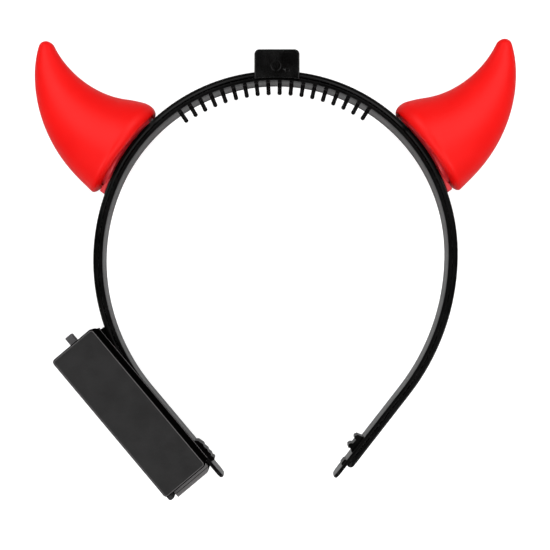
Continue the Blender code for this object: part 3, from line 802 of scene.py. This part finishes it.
def make_housing():
    """The light housing over the crown: a rounded shell whose hem follows the hoop."""
    hollow = CROWN_DEPTH / 2 + GAP
    cheek = hollow + HOUSING_WALL
    shell = block(HOUSING_SIDES, (HOUSING_HEM, HOUSING_TOP), (MID - cheek, MID + cheek))
    edit(shell)
    pick_edges(shell, lambda a, b: abs(a.z - b.z) > 1.0 and a.y > 73.0 and b.y > 73.0)
    bpy.ops.mesh.bevel(offset=HOUSING_CORNER, segments=7, affect="EDGES")
    object_mode()
    soften(shell, HOUSING_SOFTNESS, 4, 40)
    carve(shell, round_bar((0, 0), HOUSING_ARCH, (MID - 14, MID + 14), 256))
    carve(shell, round_bar((0, 0), CROWN_RADIUS + COVER_OUTER + GAP, (MID - hollow, MID + hollow), 256))
    inside = (HOUSING_SIDES[0] + HOUSING_WALL, HOUSING_SIDES[1] - HOUSING_WALL)
    carve(shell, block(inside, (58.0, HOUSING_TOP - HOUSING_WALL), (MID - hollow, MID + hollow)))
    front = MID + cheek
    carve(shell, round_bar(MARK_PLACE, MARK_RADIUS, (front - MARK_DEPTH, front + 1.0), 48))
    carve(shell, round_bar(PIN_PLACE, PIN_RADIUS, (front - PIN_DEPTH, front + 1.0), 32))
    soften(shell, 0.12, 2, 50)
    settle(shell, "light_housing")
    dress(shell, "headband", housing_black, "centre_housing")


# The horns

def bend_point(share):
    weights = ((1 - share) ** 3, 3 * share * (1 - share) ** 2, 3 * share**2 * (1 - share), share**3)
    return Vector((sum(w * p[0] for w, p in zip(weights, HORN_BEND)),
                   sum(w * p[1] for w, p in zip(weights, HORN_BEND))))


BEND_STEPS = 200
BEND_POINTS = [bend_point(k / BEND_STEPS) for k in range(BEND_STEPS + 1)]
BEND_LENGTHS = [0.0]
for before, after in zip(BEND_POINTS, BEND_POINTS[1:]):
    BEND_LENGTHS.append(BEND_LENGTHS[-1] + (after - before).length)
HORN_LENGTH = BEND_LENGTHS[-1]


def bend_at(distance):
    """The centre line's point and heading at a distance from the mouth."""
    k = 0
    while k < BEND_STEPS - 1 and BEND_LENGTHS[k + 1] < distance:
        k += 1
    share = (distance - BEND_LENGTHS[k]) / (BEND_LENGTHS[k + 1] - BEND_LENGTHS[k])
    point = BEND_POINTS[k].lerp(BEND_POINTS[k + 1], share)
    heading = (BEND_POINTS[k + 1] - BEND_POINTS[k]).normalized()
    mouth = Vector((cos(MOUTH_TILT), sin(MOUTH_TILT)))
    heading = mouth.lerp(heading, min(1.0, distance / MOUTH_RUN))
    return point, atan2(heading.y, heading.x)


def horn_size(distance):
    """The horn's half width and half depth at a distance from its mouth."""
    width = HORN_HALF_WIDTH * (1 - (distance / HORN_WIDTH_RUN) ** HORN_WIDTH_POWER)
    depth = HORN_HALF_DEPTH - HORN_DEPTH_LOSS * distance
    if distance < HORN_RIM:
        inset = HORN_RIM - sqrt(HORN_RIM**2 - (HORN_RIM - distance) ** 2)
        width -= inset
        depth -= inset
    from_tip = HORN_LENGTH - distance
    if from_tip < HORN_TIP:
        share = sqrt(max(0.0, 1 - (1 - from_tip / HORN_TIP) ** 2))
        width *= share
        depth *= share
    return width, depth


def make_horn(name, angle, side, node):
    """A horn drawn upright along its bend on the right, turned to its place on the head."""
    rim = [HORN_RIM * (1 - cos(radians(a))) for a in (4, 18, 34, 50, 66, 80, 90)]
    body = [HORN_RIM + (HORN_LENGTH - HORN_TIP - HORN_RIM) * k / 18 for k in range(1, 19)]
    tip = [HORN_LENGTH - HORN_TIP * (1 - sin(radians(a))) for a in (22, 42, 60, 74, 84)]
    outward = pi / 2 - side * radians(angle)
    along = Vector((cos(outward), sin(outward), 0))
    crown = Vector((-side * cos(radians(angle)), sin(radians(angle)), 0))
    rings = []
    for distance in rim + body + tip:
        point, heading = bend_at(distance)
        width, depth = horn_size(distance)
        centre = along * (HORN_SEAT + point.x) + crown * point.y + Vector((0, 0, MID))
        rings.append((centre, outward + side * heading, 2 * width, 2 * depth))
    deselect()
    centre, facing, width, depth = rings[0]
    bpy.ops.mesh.primitive_circle_add(vertices=HORN_SIDES, radius=0.5, fill_type="NGON", location=centre,
                                      rotation=(pi / 2, 0, facing + pi / 2))
    horn = bpy.context.object
    horn.scale = (width, depth, 1)
    bpy.ops.object.transform_apply(location=True, rotation=True, scale=True)
    edit(horn)
    bpy.ops.mesh.select_all(action="SELECT")
    pull(rings)
    object_mode()
    outward_faces(horn)
    hollow_out(horn, along, crown)
    apply(horn, "SUBSURF", levels=1, render_levels=1)
    settle(horn, name, flat_faces=False)
    dress(horn, "headband", horn_red, node)


def hollow_out(horn, along, crown):
    """Sink the mouth of a horn to leave a soft wall of even thickness."""
    mouth = along * HORN_SEAT
    edit(horn)
    pick_faces(horn, lambda c, n: (c - mouth).dot(along) < 0.4 and n.dot(along) < -0.9)
    bpy.ops.mesh.inset(thickness=MOUTH_WALL)
    centre = mouth + Vector((0, 0, MID))
    for depth, bend, share in HOLLOW_STEPS:
        move = along * depth + crown * bend
        bpy.ops.mesh.extrude_region_move(TRANSFORM_OT_translate={"value": move})
        centre = centre + move
        bpy.ops.transform.resize(value=(share, share, share), center_override=centre)
    object_mode()


def make_base(name, angle, side, node):
    """The translucent base: a plug in the horn's mouth with a foot that saddles the cover."""
    radius, width, depth = PLUG_RINGS[0]
    deselect()
    bpy.ops.mesh.primitive_circle_add(vertices=HORN_SIDES, radius=1.0, fill_type="NGON",
                                      location=(radius, 0, MID), rotation=(pi / 2, 0, pi / 2))
    base = bpy.context.object
    base.scale = (width, depth, 1)
    bpy.ops.object.transform_apply(location=True, rotation=True, scale=True)
    edit(base)
    bpy.ops.mesh.select_all(action="SELECT")
    pull([(Vector((x, 0, MID)), 0.0, width, depth) for x, width, depth in PLUG_RINGS])
    object_mode()
    outward_faces(base)
    ends = sorted((-SADDLE_DOWN * side, SADDLE_UP * side))
    foot = block(SADDLE_RADII, ends, (MID - SADDLE_HALF, MID + SADDLE_HALF))
    soften(foot, 0.5, 3, 40)
    carve(base, foot, "UNION")
    turn_about_head(base, pi / 2 - side * radians(angle))
    carve(base, round_bar((0, 0), CROWN_RADIUS + COVER_OUTER + GAP, (-1.0, 27.0), 256))
    carve(base, make_pad(angle, side, GAP))
    settle(base, name)
    dress(base, "headband", base_red, node)


# The battery case, drawn along X in its own frame and then turned to its place

def case_block(t, s, z):
    return turn_about_head(block(t, s, z), radians(CASE_TURN))


def strip_space(start, stop, outer):
    """The room that a length of the hoop needs beside the case."""
    rings = [(spot(s, (outer - ROOM_INWARD) / 2, MID), s[3], outer + ROOM_INWARD, ROOM_DEPTH)
             for s in part_of(LEFT_PATH, start, stop)]
    return sweep(rings, 0.01, 1)


def make_case():
    """The hollow case: a textured front plate over a narrower body, cut out for the hoop."""
    front = block(FRONT_RUN, (CASE_OUTER, FRONT_INNER), (FRONT_FOOT, CASE_TOP))
    upright(front, FRONT_CORNER, 7)
    edit(front)
    pick_edges(front, lambda a, b: (max(a.z, b.z) < FRONT_FOOT + 0.05
                                    and min(a.y, b.y) > FRONT_INNER - 0.05))
    bpy.ops.transform.translate(value=(0, FRONT_FLARE, 0))
    pick_faces(front, lambda c, n: n.z > 0.95)
    bpy.ops.mesh.bevel(offset=FRONT_BEVEL, segments=6, affect="EDGES")
    object_mode()
    case = block(BODY_RUN, (CASE_OUTER, BODY_INNER), (0.0, LEDGE))
    upright(case, BODY_CORNER, 6)
    soften(case, 0.5, 4, 40)
    carve(case, front, "UNION")
    carve(case, block(*HOOP_HOLDER), "UNION")
    carve(case, block(*LEDGE_SEAM))
    turn_about_head(case, radians(CASE_TURN))
    carve(case, strip_space(ROOM_START, LEFT_END, BAND_THICK + GAP))
    carve(case, strip_space(ROOM_START, LEFT_STOP + GAP, COVER_OUTER + GAP))
    slot = case_block(*DOOR_SLOT)
    carve(slot, case_block(*RAIL_SLOT), "UNION")
    carve(case, slot)
    for hollow in (BATTERY_BAY, SWITCH_BAY, SWITCH_HOLE):
        carve(case, case_block(*hollow))
    settle(case, "case_shell")
    dress(case, "headband", case_black, "battery_case")


def make_door():
    """The sliding battery door: a plate with a tongue under both rails, a thumb lip and finger grooves."""
    door = block(*DOOR_PLATE)
    edit(door)
    pick_edges(door, lambda a, b: min(a.x, b.x) > DOOR_END - 0.1 and max(a.y, b.y) < CASE_OUTER + 0.1)
    bpy.ops.mesh.bevel(offset=0.9, segments=5, affect="EDGES")
    object_mode()
    soften(door, 0.3, 3, 40)
    tongue_plate = block(*DOOR_TONGUE)
    soften(tongue_plate, 0.12, 2, 40)
    carve(door, tongue_plate, "UNION")
    lip = block(*THUMB_LIP)
    soften(lip, 0.3, 3, 40)
    carve(door, lip, "UNION")
    for k in range(FINGER_GROOVES):
        groove = block((30.6 + 1.2 * k, 31.2 + 1.2 * k), (-88.0, -86.45), (7.5, 18.5))
        soften(groove, 0.12, 2, 40)
        carve(door, groove)
    turn_about_head(door, radians(CASE_TURN))
    settle(door, "sliding_door")
    dress(door, "battery_door", door_black, "battery_door")


def make_knob():
    """The slide switch: a ridged stem on a flange behind the case's end wall."""
    knob = block(*KNOB_STEM)
    soften(knob, 0.35, 4, 40)
    for k in range(KNOB_RIDGES):
        groove = block((-27.0, -25.85), (-81.0, -76.0), (11.1 + 0.75 * k, 11.4 + 0.75 * k))
        carve(knob, groove)
    flange = block(*KNOB_FLANGE)
    soften(flange, 0.2, 2, 40)
    carve(knob, flange, "UNION")
    turn_about_head(knob, radians(CASE_TURN))
    settle(knob, "slide_knob")
    dress(knob, "switch_knob", switch_grey, "switch_knob")


make_comb_band()
make_wire_cover()
make_housing()
make_horn("horn_skin_left", LEFT_HORN, -1, "horn_left")
make_horn("horn_skin_right", RIGHT_HORN, 1, "horn_right")

make_base("glow_base_left", LEFT_HORN, -1, "horn_base_left")
make_base("glow_base_right", RIGHT_HORN, 1, "horn_base_right")
make_case()
make_door()
make_knob()


# Floor, lights and camera

def make_floor():
    deselect()
    bpy.ops.mesh.primitive_plane_add(size=3.0, location=(0, 0, 0))
    floor = bpy.context.object
    floor.name = "floor"
    made, tree, shader = new_material("floor_pale")
    cloud = noise(tree, 3.0, 2.0)
    colour = ramp(tree, cloud.outputs["Fac"], 0.3, 0.7, (0.5, 0.5, 0.5), (0.52, 0.52, 0.52))
    tree.links.new(colour.outputs["Color"], shader.inputs["Base Color"])
    shader.inputs["Roughness"].default_value = 0.25
    shader.inputs["Emission Color"].default_value = (1, 1, 1, 1)
    seen = tree.nodes.new("ShaderNodeLightPath")
    glow = tree.nodes.new("ShaderNodeMath")
    glow.operation = "MULTIPLY"
    glow.inputs[1].default_value = FLOOR_GLOW
    tree.links.new(seen.outputs["Is Camera Ray"], glow.inputs[0])
    tree.links.new(glow.outputs[0], shader.inputs["Emission Strength"])
    floor.data.materials.append(made)


def softbox(name, place, size, power):
    """A soft light that faces the middle of the table."""
    lamp = bpy.data.lights.new(name, "AREA")
    lamp.shape = "SQUARE"
    lamp.size = size
    lamp.energy = power
    obj = bpy.data.objects.new(name, lamp)
    bpy.context.scene.collection.objects.link(obj)
    obj.location = place
    obj.rotation_euler = (-Vector(place)).to_track_quat("-Z", "Y").to_euler()


def make_camera():
    lens = bpy.data.cameras.new("camera")
    lens.sensor_width = 36.0
    lens.lens = LENS
    lens.clip_start = 0.01
    obj = bpy.data.objects.new("camera", lens)
    bpy.context.scene.collection.objects.link(obj)
    obj.location = (CROWN.x * MM + CAMERA_SHIFT[0], CROWN.y * MM + CAMERA_SHIFT[1], CAMERA_HEIGHT)
    obj.rotation_euler = (0, 0, 0)
    bpy.context.scene.camera = obj


def make_sky():
    """A pale tent of light, brightest low down."""
    sky = bpy.data.worlds.new("sky")
    sky.use_nodes = True
    tree = sky.node_tree
    place = tree.nodes.new("ShaderNodeTexCoord")
    split = tree.nodes.new("ShaderNodeSeparateXYZ")
    tree.links.new(place.outputs["Generated"], split.inputs[0])
    shade = ramp(tree, split.outputs["Z"], 0.0, 0.8, (0.5, 0.5, 0.5), (0.04, 0.04, 0.04))
    tree.links.new(shade.outputs["Color"], tree.nodes["Background"].inputs["Color"])
    tree.nodes["Background"].inputs["Strength"].default_value = SKY_STRENGTH
    bpy.context.scene.world = sky


make_floor()
for turn in LIGHT_TURNS:
    reach = LIGHT_DISTANCE * cos(LIGHT_LIFT)
    place = (reach * cos(radians(turn)), reach * sin(radians(turn)), LIGHT_DISTANCE * sin(LIGHT_LIFT))
    softbox("soft_box_%d" % turn, place, LIGHT_WIDTH, LIGHT_POWER)
make_camera()
make_sky()
bpy.context.scene.view_settings.view_transform = "Standard"
